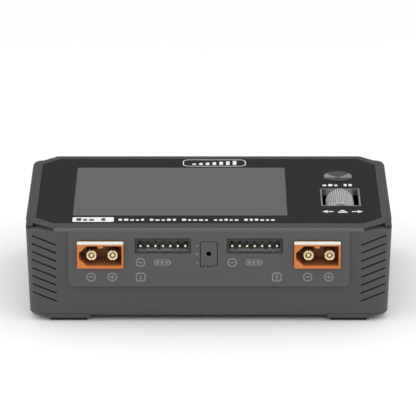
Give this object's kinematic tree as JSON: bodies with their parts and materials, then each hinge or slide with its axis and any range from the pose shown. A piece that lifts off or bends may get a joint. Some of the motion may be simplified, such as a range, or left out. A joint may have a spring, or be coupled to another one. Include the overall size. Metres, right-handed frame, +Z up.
{
  "type": "balance battery charger",
  "caption": "Low desk-top battery charger with a glass-topped display, jog wheel, push button, power sockets, balance headers, rear fans and supply inlets.",
  "frame": {"origin": "centre of the footprint, on the plane that the rubber feet stand on", "axes": "+X to the operator's right, +Y to the back, +Z up; the front connectors face -Y"},
  "size_m": [0.125, 0.076, 0.0358],
  "materials": {
    "case_plastic": "fine grained moulding",
    "panel_plastic": "fine grained moulding",
    "black_glass": "satin black screen-printed panel",
    "display": "switched-off display",
    "sheet_steel": "pressed sheet",
    "screw_steel": "zinc plated",
    "screw_black": "blackened",
    "ribbon_film": "polyimide film",
    "socket_nylon": "moulded nylon",
    "contact_gold": "gold plated",
    "header_nylon": "moulded nylon",
    "pin_gold": "gold plated",
    "port_nylon": "moulded nylon",
    "plug_rubber": "soft moulded",
    "inlet_nylon": "moulded nylon",
    "pin_nickel": "nickel plated",
    "turned_aluminium": "spun and ridged",
    "shaft_steel": "ground",
    "cradle_plastic": "moulded acetal",
    "plunger_plastic": "moulded",
    "board_laminate": "green resist",
    "fin_aluminium": "extruded",
    "ferrite": "sintered",
    "capacitor_sleeve": "shrunk sleeve",
    "ceramic_fuse": "glazed",
    "fan_plastic": "moulded",
    "foot_rubber": "matt"
  },
  "bodies": {
    "case": {"bottom_case": "case_plastic", "top_cover": "case_plastic", "front_panel": "panel_plastic", "back_panel": "panel_plastic", "display_glass": "black_glass", "lcd_module": "display", "lcd_tray": "sheet_steel", "tray_screws": "screw_steel", "display_ribbon": "ribbon_film", "output_socket_left": "socket_nylon", "output_socket_right": "socket_nylon", "dc_input_socket": "socket_nylon", "output_contacts_left": "contact_gold", "output_contacts_right": "contact_gold", "dc_input_contacts": "contact_gold", "balance_header_left": "header_nylon", "balance_header_right": "header_nylon", "balance_pins_left": "pin_gold", "balance_pins_right": "pin_gold", "signal_port": "port_nylon", "signal_pins": "pin_gold", "mains_inlet": "inlet_nylon", "mains_pins": "pin_nickel", "wheel_bezel": "turned_aluminium", "wheel_switch": "header_nylon", "exit_switch": "header_nylon", "control_board": "board_laminate", "main_board": "board_laminate", "connector_board": "board_laminate", "board_screws": "screw_steel", "case_screws": "screw_steel", "fan_screws": "screw_black", "heat_sink_left": "fin_aluminium", "heat_sink_right": "fin_aluminium", "choke_left": "ferrite", "choke_right": "ferrite", "transformer": "ferrite", "bulk_capacitor": "capacitor_sleeve", "buzzer": "header_nylon", "mains_fuse": "ceramic_fuse", "fan_frame_left": "fan_plastic", "fan_frame_right": "fan_plastic", "foot_pad_front_left": "foot_rubber", "foot_pad_front_right": "foot_rubber", "foot_pad_back_left": "foot_rubber", "foot_pad_back_right": "foot_rubber"},
    "exit_button": {"exit_button": "turned_aluminium", "exit_plunger": "plunger_plastic"},
    "wheel_cradle": {"wheel_cradle": "cradle_plastic", "wheel_plunger": "plunger_plastic", "wheel_encoder": "header_nylon"},
    "jog_wheel": {"jog_wheel": "turned_aluminium", "wheel_shaft": "shaft_steel"},
    "fan_rotor_left": {"fan_rotor_left": "fan_plastic"},
    "fan_rotor_right": {"fan_rotor_right": "fan_plastic"},
    "port_plug": {"port_plug": "plug_rubber"}
  },
  "joints": [
    {"name": "exit_button_press", "type": "slide", "parent": "case", "child": "exit_button", "axis": [0, 0, -1], "range_m": [0, 0.0004], "stiffness_N_per_m": 3000, "springref_m": -0.0002},
    {"name": "wheel_press", "type": "slide", "parent": "case", "child": "wheel_cradle", "axis": [0, 0, -1], "range_m": [0, 0.0004], "stiffness_N_per_m": 3000, "springref_m": -0.0002},
    {"name": "wheel_spin", "type": "hinge", "parent": "wheel_cradle", "child": "jog_wheel", "pos_m": [0.04565, -0.00705, 0.03085], "axis": [0, 1, 0], "continuous": true},
    {"name": "fan_left_spin", "type": "hinge", "parent": "case", "child": "fan_rotor_left", "pos_m": [-0.0326, 0.03, 0.0175], "axis": [0, 1, 0], "continuous": true},
    {"name": "fan_right_spin", "type": "hinge", "parent": "case", "child": "fan_rotor_right", "pos_m": [-0.0068, 0.03, 0.0175], "axis": [0, 1, 0], "continuous": true},
    {"name": "port_plug_pull", "type": "slide", "parent": "case", "child": "port_plug", "axis": [0, -1, 0], "range_m": [0, 0.004]}
  ]
}
